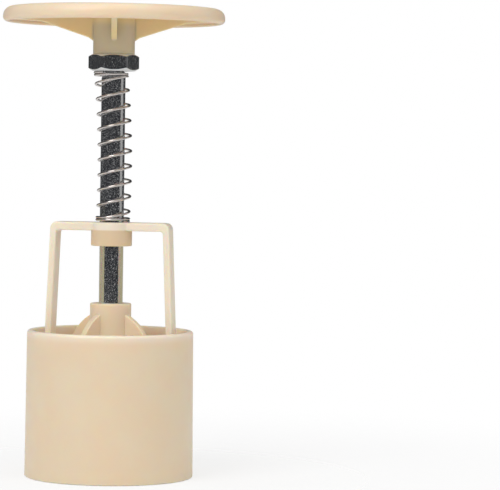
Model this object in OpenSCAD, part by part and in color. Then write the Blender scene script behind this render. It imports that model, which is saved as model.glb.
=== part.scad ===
// Hand press for moulded cakes. The palm disc drives a petal stamp down a fluted barrel,
// and a spring round the rod lifts it again.
// Millimetres, +Z up. The origin is the centre of the barrel's mouth, which the press stands on.

/* [Barrel] */
// Diameter of the cake, across the petals of the chamber
cake_d = 50; // [42:1:60]
// Number of petals round the chamber and the stamp
petals = 12; // [10:1:14]
// Height of the barrel
barrel_h = 49; // [41:1:60]
// Wall outside the petals, at the mouth
mouth_wall = 3.2; // [2.8:0.1:4.5]
// Draft: how much less the barrel's radius is at its top than at its mouth
barrel_draft = 0.4; // [0:0.1:0.8]
// Width of the ledge outside the petals, which the base ring sits on
ledge_w = 0.8; // [0.4:0.1:1]
// Rounding of the top rim's outer edge
rim_round = 0.9; // [0.4:0.1:0.9]

/* [Arch frame] */
// How far the base ring's top lies below the barrel's top rim
ring_drop = 5; // [4:0.5:8]
// Thickness of the base ring
ring_t = 2.5; // [2:0.1:4]
// Width of the base ring, from its edge to its hole
ring_w = 7.2; // [6.2:0.1:8]
// Height of the arch above the barrel's top rim
arch_rise = 36.2; // [30:0.5:45]
// How far in from the ring's edge a post stands
post_inset = 3.8; // [3:0.1:4.5]
// Thickness of a post
post_t = 2.2; // [1.6:0.1:2.6]
// Width of the strap, across its face
strap_w = 8; // [6.5:0.1:10]
// Thickness of the bar across the top
bar_t = 2.8; // [2.2:0.1:3.6]
// Outward lean of the posts, in degrees
post_lean = 2.4; // [0:0.1:5]
// Diameter of the spring pad and of the guide boss under it
guide_d = 13.7; // [13:0.1:16]
// How far the guide boss hangs below the bar
guide_drop = 5.1; // [3:0.1:7]

/* [Rod and nuts] */
// Diameter of the rod
rod_d = 8; // [6.6:0.1:9.6]
// Nut, across its flats
nut_af = 14.8; // [13:0.1:17]
// Height of a nut
nut_h = 5.6; // [4.5:0.1:6.8]
// Diameter of the washer under the press plate
washer_d = 16; // [14:0.5:17]
// Thickness of that washer
washer_t = 1.2; // [0.8:0.1:1.6]
// How far the rod goes up into the handle
rod_in_handle = 11.8; // [9:0.1:12.5]

/* [Spring] */
// Length of the spring at rest
spring_len = 50.5; // [44:0.5:60]
// Diameter of the wire
wire_d = 0.8; // [0.6:0.05:1]
// Gap between the rod and the inside of the spring
coil_gap = 1; // [0.7:0.05:1.4]
// Number of turns, the closed ones counted
spring_turns = 11; // [9:0.5:13]
// Closed part of a turn at each end
closed_turns = 0.75; // [0.5:0.25:1]
// Where round the rod the wire begins, in degrees
spring_start = 3; // [0:1:359]

/* [Handle] */
// Diameter of the palm disc
handle_d = 74; // [62:1:90]
// Height of the disc's rim
handle_rim_h = 5; // [4:0.1:7]
// Thickness of the disc's top
handle_skin = 2.2; // [1.8:0.1:3]
// Wall of the disc's rim
handle_wall = 2.2; // [2:0.1:3]
// Diameter of the boss
boss_d = 13.9; // [13:0.1:17]
// How far the boss reaches below the rim
boss_drop = 10.4; // [8:0.1:13]
// How far the ribs reach below the rim where they meet the boss
rib_drop = 5.9; // [4:0.1:8]
// Distance from the axis at which a rib comes level with the rim
rib_reach = 24; // [18:0.5:30]
// Thickness of a rib
rib_t = 1.9; // [1.5:0.1:3]

/* [Press plate] */
// Thickness of the plate
plate_t = 3; // [2.5:0.1:4]
// Height of the hub above the plate
hub_h = 16.7; // [14:0.1:20]
// Diameter of the hub
hub_d = 13.8; // [12.5:0.1:16]
// Thickness of a gusset
gusset_t = 2; // [1.5:0.1:3]
// Wall round the pocket for the nut
cup_wall = 1.6; // [1.4:0.1:2]

/* [Stamp] */
// Height of the stamp
stamp_h = 9; // [8.5:0.1:12]
// Width of the flat rim round the petals
stamp_rim = 2.3; // [1.8:0.1:3]
// Thickness of the ridge between two petals, at the face
ridge_t = 0.6; // [0.4:0.1:1]
// Diameter of the round eye in the middle
eye_d = 10.3; // [8:0.1:12]
// Wall round the eye
eye_wall = 0.85; // [0.6:0.05:1.5]
// Depth of the eye
eye_depth = 3; // [2:0.1:4]
// Distance of a peg from the axis
peg_at = 16.2; // [14.5:0.1:16.4]
// Diameter of a peg
peg_d = 4; // [3:0.1:4.4]
// Depth of the hollow in the stamp's back
back_depth = 2; // [1:0.1:2.2]

/* [Fits] */
// Gap between the sliding pieces and the chamber
slide_gap = 0.3; // [0.2:0.05:0.5]
// Gap round the rod in its guide
guide_gap = 0.1; // [0.05:0.01:0.1]
// Gap round the rod in what is screwed to it
thread_gap = 0.05; // [0.02:0.01:0.1]
// Gap round the base ring in its collar
ring_gap = 0.1; // [0.05:0.05:0.2]
// Gap between the press plate and the base ring that stops it
stop_gap = 0.1; // [0.05:0.05:0.3]
// Gap between the stamp's back and the press plate
seat_gap = 0.05; // [0:0.05:0.2]
// Gap round a peg in its socket
peg_gap = 0.1; // [0.05:0.05:0.2]
// Gap between the gussets and the base ring's hole
gusset_gap = 0.7; // [0.4:0.1:1.2]

/* [Motion] */
// Travel of the plunger, from rest until the stamp is out of the mouth
press_travel = 38; // [30:1:38]

/* [Hidden] */

$fn = 96;
arc_steps = 6;      // chords in a rounded corner
ball_steps = 8;     // chords from a ball's join to its pole
through = 1;        // how far a cut runs past the face it opens

cream = [0.89, 0.81, 0.69];
bright_steel = [0.62, 0.62, 0.64];
zinc = [0.55, 0.57, 0.60];

// Turns about the axis, in degrees, as the pieces were screwed up
handle_turn = 12;
lock_nut_turn = 12;
gusset_turn = 64;
quarters = 4;

// Chamber and stamp: petals are round arcs, their centres on a circle
cake_r = cake_d / 2;
petal_step = 360 / petals;
petal_arc_share = 0.345;
petal_r = cake_r * petal_arc_share;
petal_at = cake_r - petal_r;

// Barrel
mouth_r = cake_r + mouth_wall;
barrel_top_r = mouth_r - barrel_draft;
collar_r = cake_r + ledge_w;
collar_wall = barrel_top_r - collar_r;
mouth_round = 0.4;
bead_h = 1;         // snap bead that keeps the base ring down
bead_out = 0.4;

// Heights, from the mouth up
ring_top = barrel_h - ring_drop;
ledge_z = ring_top - ring_t;
plate_top = ledge_z - stop_gap;
plate_bottom = plate_top - plate_t;
stamp_top = plate_bottom - seat_gap;
arch_top = barrel_h + arch_rise;
bar_bottom = arch_top - bar_t;
guide_bottom = bar_bottom - guide_drop;
lock_nut_bottom = arch_top + spring_len;
boss_bottom = lock_nut_bottom + nut_h;
handle_rim_z = boss_bottom + boss_drop;
handle_top = handle_rim_z + handle_rim_h;

// Base ring
ring_r = collar_r - ring_gap;
ring_hole_r = ring_r - ring_w;
post_foot_x = ring_r - post_inset;
post_top_x = post_foot_x - (arch_top - ring_top) * tan(post_lean);
strap_round = 1.5;
strap_inner_round = 0.8;

// Rod and what is screwed to it
rod_r = rod_d / 2;
rod_chamfer = 0.8;
rod_top = boss_bottom + rod_in_handle;
nut_recess = 0.2;   // plate nut above the plate's underside
plate_nut_bottom = plate_bottom + nut_recess;
pocket_top = plate_nut_bottom + nut_h + washer_t;
nut_corner_r = nut_af / 2 / cos(30);
nut_face_share = 0.95;

// Handle
handle_r = handle_d / 2;
boss_r = boss_d / 2;
skin_z = handle_top - handle_skin;
palm_round = 3;
rim_under_round = 1.5;
edge_round = 0.4;   // edges that the hand doesn't touch
inner_round = 0.8;  // corners inside the shell
rib_seat = 0.5;     // how far a rib runs into the shell
rib_foot = [1.6, 1, 3];     // rib's foot: out from the boss, up from its lowest point, rounding
rib_heel = [0.2, 6];        // where a rib comes level: height inside the rim, rounding
rib_end_lift = 0.8; // height of a rib's outer end inside the rim

// Press plate
hub_r = hub_d / 2;
pocket_gap = 0.8;   // room round the nut's corners
pocket_r = nut_corner_r + pocket_gap;
cup_r = pocket_r + cup_wall;
cup_top = pocket_top + cup_wall;
gusset_r = ring_hole_r - gusset_gap;
gusset_sink = 3.4;  // how far the centre of a gusset's round back lies below the plate's top
gusset_centre_z = plate_top - gusset_sink;

// Stamp
peg_short = 0.2;    // how far a peg's end stays below the plate's top
peg_l = plate_t - peg_short;
peg_chamfer = 0.5;
eye_r = eye_d / 2;
scoop_lift = 0.35;  // height of the hollows' centre lines above the face
back_wall = 2.2;
back_core_r = 8;
back_spoke_w = 6;

// Spring: 8 rings a turn, 6 sides
wire_r = wire_d / 2;
coil_r = rod_r + coil_gap + wire_r;
closed_gap = 0.5;   // between the wire's turns at a closed end
closed_pitch = wire_d + closed_gap;
turn_rings = 8;
wire_sides = 6;

// ---------- functions ----------

function unit(v) = v / norm(v);

// Angle turned through from a to b, the short way round
function short_turn(a, b) = let (d = b - a) d > 180 ? d - 360 : d < -180 ? d + 360 : d;

// The arc of radius r that rounds corner b between its neighbours a and c
function corner_arc(a, b, c, r) =
    let (u = unit(a - b), v = unit(c - b), half = acos(u * v) / 2,
         o = b + unit(u + v) * r / sin(half),
         p = b + u * r / tan(half) - o, q = b + v * r / tan(half) - o,
         start = atan2(p[1], p[0]), turn = short_turn(start, atan2(q[1], q[0])))
    [for (i = [0 : arc_steps]) let (t = start + turn * i / arc_steps) o + r * [cos(t), sin(t)]];

// An outline whose corners are given as [x, y, radius]
function rounded(corners) =
    let (n = len(corners), at = [for (c = corners) [c[0], c[1]]])
    [for (i = [0 : n - 1])
        each corners[i][2] > 0
            ? corner_arc(at[(i + n - 1) % n], at[i], at[(i + 1) % n], corners[i][2])
            : [at[i]]];

// ---------- shared shapes ----------

// The petal outline, grown or shrunk by gap
module petal_outline(gap = 0) {
    circle(r = petal_at);
    for (k = [0 : petals - 1])
        rotate((k + 0.5) * petal_step) translate([petal_at, 0]) circle(r = petal_r + gap);
}

// Hexagon nut with both faces chamfered, standing on z = 0
module hex_nut() {
    face_r = nut_af / 2 * nut_face_share;
    drop = (nut_corner_r - face_r) * tan(30);
    difference() {
        intersection() {
            cylinder(r = nut_corner_r, h = nut_h, $fn = 6);
            rotate_extrude()
                polygon([[0, 0], [face_r, 0], [nut_corner_r, drop],
                         [nut_corner_r, nut_h - drop], [face_r, nut_h], [0, nut_h]]);
        }
        translate([0, 0, -through])
            cylinder(r = rod_r + thread_gap, h = nut_h + 2 * through);
    }
}

// ---------- barrel ----------

module barrel() {
    color(cream) {
        difference() {
            rotate_extrude()
                polygon(rounded([[0, 0, 0],
                                 [mouth_r, 0, mouth_round],
                                 [barrel_top_r, barrel_h, rim_round],
                                 [collar_r, barrel_h, rim_round / 2],
                                 [collar_r, ledge_z, 0],
                                 [0, ledge_z, 0]]));
            translate([0, 0, -through])
                linear_extrude(ledge_z + 2 * through) petal_outline();
        }
        snap_bead();
    }
}

// Bead round the collar, just above the base ring
module snap_bead() {
    rotate_extrude()
        polygon([[collar_r + bead_out, ring_top], [collar_r, ring_top],
                 [collar_r - bead_out, ring_top + bead_h / 2],
                 [collar_r, ring_top + bead_h], [collar_r + bead_out, ring_top + bead_h]]);
}

// ---------- arch frame ----------

module arch_frame() {
    color(cream)
    difference() {
        union() {
            base_ring();
            strap();
            translate([0, 0, guide_bottom])
                cylinder(d = guide_d, h = arch_top - guide_bottom);
        }
        translate([0, 0, guide_bottom - through])
            cylinder(r = rod_r + guide_gap, h = arch_top - guide_bottom + 2 * through);
    }
}

module base_ring() {
    translate([0, 0, ledge_z])
        difference() {
            cylinder(r = ring_r, h = ring_t);
            translate([0, 0, -through]) cylinder(r = ring_hole_r, h = ring_t + 2 * through);
        }
}

// One strap bent into an arch; its feet run down into the base ring
module strap() {
    foot_z = ledge_z + ring_t / 2;
    foot_x = post_foot_x + (ring_top - foot_z) * tan(post_lean);
    shoulder_x = post_top_x + bar_t * tan(post_lean) - post_t;
    translate([0, strap_w / 2, 0]) rotate([90, 0, 0]) linear_extrude(strap_w)
        polygon(rounded([[-foot_x, foot_z, 0], [-post_top_x, arch_top, strap_round],
                         [post_top_x, arch_top, strap_round], [foot_x, foot_z, 0],
                         [foot_x - post_t, foot_z, 0],
                         [shoulder_x, bar_bottom, strap_inner_round],
                         [-shoulder_x, bar_bottom, strap_inner_round],
                         [post_t - foot_x, foot_z, 0]]));
}

// ---------- rod, nuts and washer ----------

module rod() {
    color(bright_steel)
    rotate_extrude()
        polygon([[0, plate_nut_bottom], [rod_r - rod_chamfer, plate_nut_bottom],
                 [rod_r, plate_nut_bottom + rod_chamfer], [rod_r, rod_top - rod_chamfer],
                 [rod_r - rod_chamfer, rod_top], [0, rod_top]]);
}

module lock_nut() {
    color(zinc) translate([0, 0, lock_nut_bottom]) rotate(lock_nut_turn) hex_nut();
}

module plate_nut() {
    color(zinc) translate([0, 0, plate_nut_bottom]) hex_nut();
}

module plate_washer() {
    color(zinc)
    translate([0, 0, plate_nut_bottom + nut_h])
        difference() {
            cylinder(d = washer_d, h = washer_t);
            translate([0, 0, -through])
                cylinder(r = rod_r + thread_gap, h = washer_t + 2 * through);
        }
}

// ---------- spring ----------

// Height climbed after t turns: closed ends, and an even pitch between them
function climb(t) =
    let (open_turns = spring_turns - 2 * closed_turns,
         pitch = (spring_len - 2 * wire_d - 2 * closed_turns * closed_pitch) / open_turns)
    min(t, closed_turns) * closed_pitch
    + max(0, min(t - closed_turns, open_turns)) * pitch
    + max(0, t - closed_turns - open_turns) * closed_pitch;

// Path of the wire as [angle, height]: each end stands upright for one diameter of the wire
spring_path = let (last = spring_turns * turn_rings)
    [[0, 0],
     for (i = [0 : last]) [360 * i / turn_rings, wire_d + climb(i / turn_rings)],
     [360 * spring_turns, spring_len]];
spring_points = [for (p = spring_path)
    [coil_r * cos(p[0] + spring_start), coil_r * sin(p[0] + spring_start), arch_top + p[1]]];

// One ring round the wire: square to it, and mitred where it bends
function wire_ring(i) =
    let (p = spring_points, n = len(p),
         before = unit(i == 0 ? p[1] - p[0] : p[i] - p[i - 1]),
         after = unit(i == n - 1 ? p[n - 1] - p[n - 2] : p[i + 1] - p[i]),
         along = unit(before + after),
         angle = spring_path[i][0] + spring_start,
         out = [cos(angle), sin(angle), 0],
         side = unit(cross(along, out)),
         mitre = 1 / (along * after))
    [for (s = [0 : wire_sides - 1]) let (a = 360 * s / wire_sides)
        p[i] + wire_r * (cos(a) * out + mitre * sin(a) * side)];

// Least gap between the wire and its own neighbouring turns
spring_gap = min([for (i = [0 : len(spring_points) - 1])
                  for (j = [i + turn_rings / 2 + 1 : 1 : len(spring_points) - 1])
                      norm(spring_points[i] - spring_points[j])]) - wire_d;

module spring() {
    rings = len(spring_points);
    color(bright_steel)
    polyhedron(
        points = [for (i = [0 : rings - 1]) each wire_ring(i)],
        faces = [
            [for (s = [wire_sides - 1 : -1 : 0]) s],
            [for (s = [0 : wire_sides - 1]) (rings - 1) * wire_sides + s],
            for (i = [0 : rings - 2]) for (s = [0 : wire_sides - 1])
                let (a = i * wire_sides + s, b = i * wire_sides + (s + 1) % wire_sides)
                each [[a, b, b + wire_sides], [a, b + wire_sides, a + wire_sides]]]);
}

// ---------- handle ----------

module handle() {
    color(cream)
    difference() {
        union() {
            rotate_extrude()
                polygon(rounded([[0, boss_bottom, 0], [boss_r, boss_bottom, edge_round],
                                 [boss_r, skin_z, inner_round],
                                 [handle_r - handle_wall, skin_z, inner_round],
                                 [handle_r - handle_wall, handle_rim_z, edge_round],
                                 [handle_r, handle_rim_z, rim_under_round],
                                 [handle_r, handle_top, palm_round],
                                 [0, handle_top, 0]]));
            for (k = [0 : quarters - 1])
                rotate(handle_turn + k * 360 / quarters) handle_rib();
        }
        translate([0, 0, boss_bottom - through])
            cylinder(r = rod_r + thread_gap, h = rod_in_handle + thread_gap + through);
    }
}

// Rib from the boss out to the rim: it rises to the rim's level, then runs on inside the shell
module handle_rib() {
    inner = boss_r - rib_seat;
    outer = handle_r - handle_wall + rib_seat;
    rotate([90, 0, 0]) translate([0, 0, -rib_t / 2]) linear_extrude(rib_t)
        polygon(rounded([[inner, skin_z + rib_seat, 0],
                         [inner, handle_rim_z - rib_drop - rib_seat, 0],
                         [boss_r + rib_foot[0], handle_rim_z - rib_drop + rib_foot[1], rib_foot[2]],
                         [rib_reach, handle_rim_z + rib_heel[0], rib_heel[1]],
                         [outer, handle_rim_z + rib_end_lift, 0],
                         [outer, skin_z + rib_seat, 0]]));
}

// ---------- press plate ----------

module press_plate() {
    color(cream)
    difference() {
        union() {
            translate([0, 0, plate_bottom]) linear_extrude(plate_t) petal_outline(-slide_gap);
            translate([0, 0, plate_bottom]) cylinder(r = cup_r, h = cup_top - plate_bottom);
            translate([0, 0, plate_bottom]) cylinder(r = hub_r, h = plate_t + hub_h);
            for (k = [0 : quarters - 1])
                rotate(gusset_turn + k * 360 / quarters) gusset();
        }
        translate([0, 0, plate_bottom - through])
            cylinder(r = pocket_r, h = pocket_top - plate_bottom + through);
        translate([0, 0, plate_bottom])
            cylinder(r = rod_r + thread_gap, h = plate_t + hub_h + through);
        for (side = [0, 180])
            rotate(side) translate([peg_at, 0, plate_bottom - through])
                cylinder(r = peg_d / 2 + peg_gap, h = plate_t + 2 * through);
    }
}

// Gusset with a round back, from the hub down to the plate
module gusset() {
    rotate([90, 0, 0]) translate([0, 0, -gusset_t / 2]) linear_extrude(gusset_t)
        intersection() {
            translate([0, gusset_centre_z]) circle(r = gusset_r);
            translate([(rod_r + hub_r) / 2, plate_top - plate_t / 2]) square(2 * gusset_r);
        }
}

// ---------- stamp ----------

// Modelled face up with its back on z = 0, then turned over to face the mouth
module stamp() {
    color(cream)
    translate([0, 0, stamp_top]) rotate([180, 0, 0]) {
        difference() {
            linear_extrude(stamp_h) petal_outline(-slide_gap);
            for (k = [0 : petals - 1])
                rotate((k + 0.5) * petal_step) translate([0, 0, stamp_h + scoop_lift]) scoop();
            translate([0, 0, stamp_h - eye_depth]) cylinder(r = eye_r, h = eye_depth + through);
            stamp_back();
        }
        for (side = [0, 180])
            rotate(side) translate([peg_at, 0, 0]) peg();
    }
}

// Hollow of one petal, a body turned about a line just above the face: a cone between
// the two ridges, closed at its wide end by a ball about the petal's centre
module scoop() {
    half = petal_step / 2;
    ball_r = petal_r - slide_gap - stamp_rim;
    start = eye_r + eye_wall;
    tip = ridge_t / 2 / sin(half);
    reach = (petal_at - tip) * cos(half);
    join = tip + cos(half) * (reach + sqrt(ball_r ^ 2 - (petal_at - tip) ^ 2 + reach ^ 2));
    join_angle = atan2((join - tip) * tan(half), join - petal_at);
    rotate([0, 90, 0]) rotate_extrude()
        polygon([[0, start], [(start - tip) * tan(half), start],
                 for (i = [0 : ball_steps]) let (a = join_angle * (1 - i / ball_steps))
                     [ball_r * sin(a), petal_at + ball_r * cos(a)]]);
}

// Moulded hollow of the back: four pockets between spokes, two of which carry the pegs
module stamp_back() {
    difference() {
        translate([0, 0, -through])
            cylinder(r = petal_at + petal_r - slide_gap - stamp_rim - back_wall,
                     h = back_depth + through);
        translate([0, 0, -2 * through]) cylinder(r = back_core_r, h = back_depth + 4 * through);
        for (turn = [0, 90])
            rotate(turn) translate([-cake_r, -back_spoke_w / 2, -2 * through])
                cube([2 * cake_r, back_spoke_w, back_depth + 4 * through]);
    }
}

// Peg that holds the stamp in the press plate; it hangs below z = 0, on the stamp's back
module peg() {
    rotate([180, 0, 0]) translate([0, 0, -peg_chamfer]) rotate_extrude()
        polygon([[0, 0], [peg_d / 2, 0], [peg_d / 2, peg_l],
                 [peg_d / 2 - peg_chamfer, peg_l + peg_chamfer], [0, peg_l + peg_chamfer]]);
}

echo(spring_gap = spring_gap, spring_length_when_pressed = spring_len - press_travel,
     spring_solid_length = spring_turns * wire_d, barrel_wall_at_collar = collar_wall);

barrel();
arch_frame();
spring();
rod();
lock_nut();
handle();
press_plate();
plate_washer();
plate_nut();
stamp();
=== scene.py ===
"""Looks of a hand press for moulded cakes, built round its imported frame.

Sizes are in millimetres until a mesh is made. Heights and outer sizes come from the frame's
boxes, and each class holds the sizes that a box doesn't give. Every piece is a surface of two
parameters worked out as whole arrays, and stands at rest where its node stands.
"""

from __future__ import annotations

import logging
import math
import sys
from dataclasses import dataclass, field
from enum import Enum
from typing import Any, Sequence

import bmesh
import bpy
import numpy as np
from mathutils import Matrix, Vector

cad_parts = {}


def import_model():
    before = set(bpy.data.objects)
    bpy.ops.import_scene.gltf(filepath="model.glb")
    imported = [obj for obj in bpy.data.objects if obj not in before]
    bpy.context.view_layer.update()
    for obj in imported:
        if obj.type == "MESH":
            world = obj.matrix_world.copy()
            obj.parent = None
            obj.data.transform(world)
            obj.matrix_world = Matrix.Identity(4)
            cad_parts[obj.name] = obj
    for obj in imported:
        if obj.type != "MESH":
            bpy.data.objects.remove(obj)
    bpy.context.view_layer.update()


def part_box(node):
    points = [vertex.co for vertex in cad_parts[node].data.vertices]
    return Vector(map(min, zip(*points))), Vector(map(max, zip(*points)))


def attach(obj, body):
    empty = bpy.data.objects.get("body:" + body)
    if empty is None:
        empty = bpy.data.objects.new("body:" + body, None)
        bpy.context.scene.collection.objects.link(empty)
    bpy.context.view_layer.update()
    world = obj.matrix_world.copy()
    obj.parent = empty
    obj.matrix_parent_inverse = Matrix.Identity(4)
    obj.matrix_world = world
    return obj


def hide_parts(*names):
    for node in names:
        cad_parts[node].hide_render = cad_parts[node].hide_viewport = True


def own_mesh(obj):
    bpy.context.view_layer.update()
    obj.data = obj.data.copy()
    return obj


log = logging.getLogger("press")

MM = 0.001
FULL_TURN = 2 * math.pi
# How far a solid reaches into the one it is joined to, and a cutter past the one it cuts, in mm
SEAT = 0.5
PAST = 1.0
# A corner is (x, y, radius) or (x, y, radius, share), and limits are where something begins to
# show and where it is complete
Corner = tuple[float, ...]
Colour = tuple[float, float, float]
Limits = tuple[float, float]
# Limits of a zone that leaves nothing out: no height or distance on the press is below 0 mm
EVERYWHERE: Limits = (-2.0, -1.0)


class Body(Enum):
    """The bodies that pieces ride on."""

    PRESS = "press_body"
    PLUNGER = "plunger"
    STAMP = "flower_stamp"


class Slot(Enum):
    """The record's material slots."""

    BARREL = "barrel_plastic"
    FRAME = "frame_plastic"
    HANDLE = "handle_plastic"
    PLATE = "plate_plastic"
    STAMP = "stamp_plastic"
    ROD = "rod_chrome"
    SPRING = "spring_wire"
    ZINC = "zinc_steel"


class Cut(Enum):
    """How one solid is combined with another."""

    JOIN = "UNION"
    REMOVE = "DIFFERENCE"


# ---------- the frame ----------


@dataclass(frozen=True)
class Extent:
    """Lowest and highest corner of a node, in millimetres."""

    low: np.ndarray
    high: np.ndarray

    @classmethod
    def of(cls, node: str) -> Extent:
        """Reads a node's box at rest.

        Args:
            node: Name of the node.

        Returns:
            The node's extent.
        """
        low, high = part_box(node)
        return cls(np.array(low) / MM, np.array(high) / MM)

    @property
    def bottom(self) -> float:
        """Lowest height."""
        return float(self.low[2])

    @property
    def top(self) -> float:
        """Highest height."""
        return float(self.high[2])

    @property
    def radius(self) -> float:
        """Largest distance from the axis along X."""
        return float(self.high[0])


# ---------- outlines ----------


def corner_arc(
    before: np.ndarray, at: np.ndarray, after: np.ndarray, radius: float, steps: int
) -> np.ndarray:
    """Rounds one corner of an outline.

    The arc's centre lies on the corner's bisector, radius / sin(half the corner's angle) away,
    and the arc runs from one tangent point to the other, the short way round.

    Args:
        before: The corner before.
        at: The corner itself.
        after: The corner after.
        radius: Radius of the arc.
        steps: Chords in the arc.

    Returns:
        Points of the arc, one row each.
    """
    u = (before - at) / np.linalg.norm(before - at)
    v = (after - at) / np.linalg.norm(after - at)
    half = math.acos(float(np.clip(u @ v, -1, 1))) / 2
    middle = (u + v) / np.linalg.norm(u + v)
    centre = at + middle * radius / math.sin(half)
    start, end = (at + w * radius / math.tan(half) - centre for w in (u, v))
    first = math.atan2(start[1], start[0])
    turn = (math.atan2(end[1], end[0]) - first + math.pi) % FULL_TURN - math.pi
    angles = first + turn * np.linspace(0, 1, steps + 1)
    return centre + radius * np.stack([np.cos(angles), np.sin(angles)], axis=1)


def rounded(corners: Sequence[Corner], closed: bool = True, steps: int = 5) -> np.ndarray:
    """Outline with rounded corners.

    Args:
        corners: Each corner as (x, y, radius) or (x, y, radius, share). The share is kept for
            all points of the corner's arc.
        closed: Whether the last corner joins the first. The ends of an open one stay sharp.
        steps: Chords in each arc.

    Returns:
        Rows of (x, y, share).
    """
    at = np.array([corner[:2] for corner in corners], float)
    rows = []
    for i, corner in enumerate(corners):
        at_end = not closed and i in (0, len(corners) - 1)
        if corner[2] > 0 and not at_end:
            points = corner_arc(at[i - 1], at[i], at[(i + 1) % len(at)], corner[2], steps)
        else:
            points = at[i : i + 1]
        share = corner[3] if len(corner) > 3 else 0.0
        rows.append(np.column_stack([points, np.full(len(points), share)]))
    return np.concatenate(rows)


def inset(outline: np.ndarray, distance: float) -> np.ndarray:
    """Moves an outline that runs anticlockwise inwards.

    Each point moves along the sum of its two edges' normals, over one plus their product, which
    keeps both edges parallel to themselves.

    Args:
        outline: Rows of (x, y).
        distance: How far in.

    Returns:
        The moved outline.
    """
    edge = np.roll(outline, -1, axis=0) - outline
    edge /= np.linalg.norm(edge, axis=1, keepdims=True)
    normal = np.column_stack([-edge[:, 1], edge[:, 0]])
    previous = np.roll(normal, 1, axis=0)
    product = np.sum(normal * previous, axis=1, keepdims=True)
    return outline + distance * (normal + previous) / (1 + product)


def smooth_step(x: np.ndarray, low: float, high: float) -> np.ndarray:
    """3t^2 - 2t^3, with t rising from 0 at low to 1 at high."""
    t = np.clip((x - low) / (high - low), 0, 1)
    return t * t * (3 - 2 * t)


def soft_positive(x: np.ndarray, softness: float) -> np.ndarray:
    """Soft maximum of x and 0 that is brought back to 0 where x is 0.

    With the softness s it is s log(1 + exp(x / s)) - s log 2 exp(-|x| / s).

    Args:
        x: Any values.
        softness: Width of the bend between 0 and x.

    Returns:
        One value for each x.
    """
    bend = softness * math.log(2) * np.exp(-np.abs(x) / softness)
    return softness * np.logaddexp(0, x / softness) - bend


def full_circle(columns: int = 96) -> np.ndarray:
    """Even angles all the way round."""
    return np.linspace(0, FULL_TURN, columns, endpoint=False)


# ---------- meshes ----------


def link_mesh(name: str, vertices: np.ndarray, faces: list[list[int]]) -> bpy.types.Object:
    """Makes a mesh object from points in millimetres.

    Points in one place, as at a pole, become one, and the faces are turned outwards.

    Args:
        name: Name of the object.
        vertices: Rows of (x, y, z).
        faces: Indices of each face's points.

    Returns:
        The object, at the origin.
    """
    mesh = bpy.data.meshes.new(name)
    mesh.from_pydata((vertices * MM).tolist(), [], faces)
    work = bmesh.new()
    work.from_mesh(mesh)
    bmesh.ops.remove_doubles(work, verts=work.verts, dist=1e-7)
    bmesh.ops.recalc_face_normals(work, faces=work.faces)
    work.to_mesh(mesh)
    work.free()
    piece = bpy.data.objects.new(name, mesh)
    bpy.context.scene.collection.objects.link(piece)
    return piece


def grid_faces(rows: int, columns: int, closed: bool) -> np.ndarray:
    """Quads of a grid whose columns run all the way round.

    Args:
        rows: Number of rows.
        columns: Number of columns.
        closed: Whether the last row joins the first.

    Returns:
        One row of four indices for each quad.
    """
    index = np.arange(rows * columns).reshape(rows, columns)
    low = index if closed else index[:-1]
    high = np.roll(index, -1, axis=0) if closed else index[1:]
    quads = [low, np.roll(low, -1, axis=1), np.roll(high, -1, axis=1), high]
    return np.stack(quads, axis=-1).reshape(-1, 4)


def grid_solid(name: str, grid: np.ndarray, closed: bool = False, capped: bool = False) -> bpy.types.Object:
    """Makes a solid from a grid of points.

    Args:
        name: Name of the object.
        grid: Points as (rows, columns, 3).
        closed: Whether the last row joins the first.
        capped: Whether the first and last row are each closed by one flat face.

    Returns:
        The object.
    """
    rows, columns = grid.shape[:2]
    faces = grid_faces(rows, columns, closed).tolist()
    if capped:
        faces.append(list(range(columns)))
        faces.append(list(range((rows - 1) * columns, rows * columns)))
    return link_mesh(name, grid.reshape(-1, 3), faces)


def turned(section: np.ndarray, angles: np.ndarray, drop: np.ndarray | float = 0.0) -> np.ndarray:
    """Surface of revolution whose rows can follow the petals.

    At an angle, a row's radius is its own less its share of the drop, which is how far the
    petals' outline lies inside its outer circle there.

    Args:
        section: Rows of (radius, height, share).
        angles: Angle of each column.
        drop: Drop of the petals' outline at each column.

    Returns:
        Points as (rows, columns, 3).
    """
    radius = section[:, :1] - section[:, 2:] * (drop + np.zeros_like(angles))
    height = np.broadcast_to(section[:, 1:2], radius.shape)
    return np.stack([radius * np.cos(angles), radius * np.sin(angles), height], axis=-1)


def slab(outline: np.ndarray, thickness: float, edge: float, steps: int = 4) -> np.ndarray:
    """Flat piece with rounded edges, as a grid of outlines one above the other.

    Across the edge, the outline is inset by edge * (1 - cos a) while the height still has
    edge * (1 - sin a) to go, with a from 0 to a right angle.

    Args:
        outline: Rows of (x, y), anticlockwise.
        thickness: Thickness along Z, centred on 0.
        edge: Radius of the edges.
        steps: Chords across an edge.

    Returns:
        Points as (rows, columns, 3).
    """
    bend = np.linspace(math.pi / 2, 0, steps + 1)
    heights = -thickness / 2 + edge * (1 - np.sin(bend))
    shrink = edge * (1 - np.cos(bend))
    heights = np.concatenate([heights, -heights[::-1]])
    shrink = np.concatenate([shrink, shrink[::-1]])
    layers = [
        np.column_stack([inset(outline, s), np.full(len(outline), h)])
        for s, h in zip(shrink, heights)
    ]
    return np.stack(layers)


def upright(grid: np.ndarray, angle: float) -> np.ndarray:
    """Stands a slab up, so that its x runs out from the axis and its y upwards.

    Args:
        grid: Points whose last axis is (out, up, across).
        angle: Direction about the axis, in degrees.

    Returns:
        The points in the frame.
    """
    a = math.radians(angle)
    out, up, across = np.moveaxis(grid, -1, 0)
    return np.stack(
        [out * math.cos(a) + across * math.sin(a), out * math.sin(a) - across * math.cos(a), up],
        axis=-1,
    )


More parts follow.
